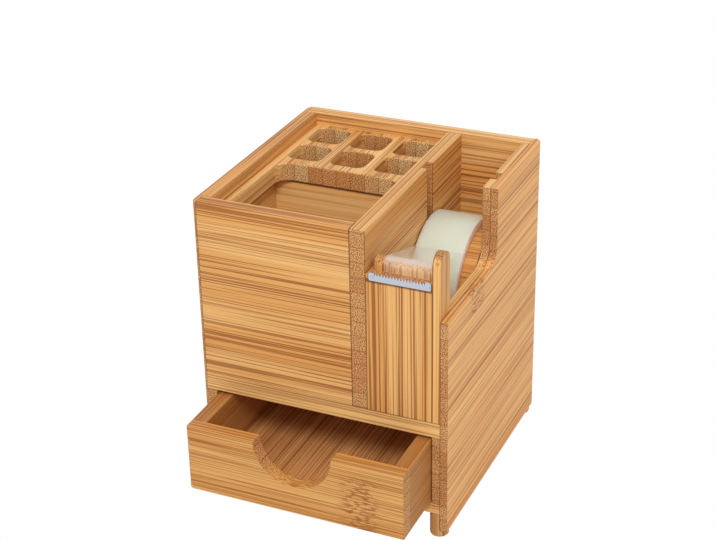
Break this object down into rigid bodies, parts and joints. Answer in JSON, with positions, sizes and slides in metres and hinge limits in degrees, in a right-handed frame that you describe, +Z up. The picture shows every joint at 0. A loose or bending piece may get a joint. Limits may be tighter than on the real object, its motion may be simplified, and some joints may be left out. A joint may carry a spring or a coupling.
{
  "type": "desk organizer with tape dispenser and drawer",
  "caption": "Bamboo desk organizer with a pen compartment, a small-item grid, a tape dispenser bay with a steel cutter, and a sliding drawer with a finger notch",
  "frame": {"origin": "centre of the footprint of everything, the drawer standing open as at rest included, at the level of the feet", "axes": "+X to the right along the front, +Y from the front to the back, +Z up"},
  "size_m": [0.1, 0.127, 0.122],
  "materials": {
    "bamboo": "clear satin lacquer",
    "dowel": "plain turned dowel",
    "hub_wood": "turned and lacquered",
    "steel": "bright punched strip",
    "core": "plain",
    "tape": "wound film, translucent",
    "film": "clear film"
  },
  "bodies": {
    "case": {"left_wall": "bamboo", "right_wall_outer": "bamboo", "right_wall_inner": "bamboo", "chamber_side": "bamboo", "back_wall": "bamboo", "front_panel": "bamboo", "divider": "bamboo", "shelf": "bamboo", "base_board": "bamboo", "pen_grid": "bamboo", "partition": "bamboo", "tape_guide": "bamboo", "cutter_block": "bamboo", "cutter_blade": "steel", "blade_nails": "steel", "foot_front_left": "dowel", "foot_front_right": "dowel", "foot_rear_left": "dowel", "foot_rear_right": "dowel"},
    "drawer": {"drawer_front": "bamboo", "drawer_left_side": "bamboo", "drawer_right_side": "bamboo", "drawer_rear": "bamboo", "drawer_floor": "bamboo"},
    "tape_carrier": {"tape_axle": "dowel", "tape_film": "film"},
    "tape_reel": {"tape_hub": "hub_wood", "tape_core": "core", "tape_roll": "tape"}
  },
  "joints": [
    {"name": "drawer_slide", "type": "slide", "parent": "case", "child": "drawer", "axis": [0, -1, 0], "range_m": [-0.026, 0.045]},
    {"name": "axle_lift", "type": "slide", "parent": "case", "child": "tape_carrier", "axis": [0, 0, 1], "range_m": [0, 0.075]},
    {"name": "reel_spin", "type": "hinge", "parent": "tape_carrier", "child": "tape_reel", "pos_m": [0, 0.024, 0.077], "axis": [1, 0, 0], "continuous": true}
  ]
}
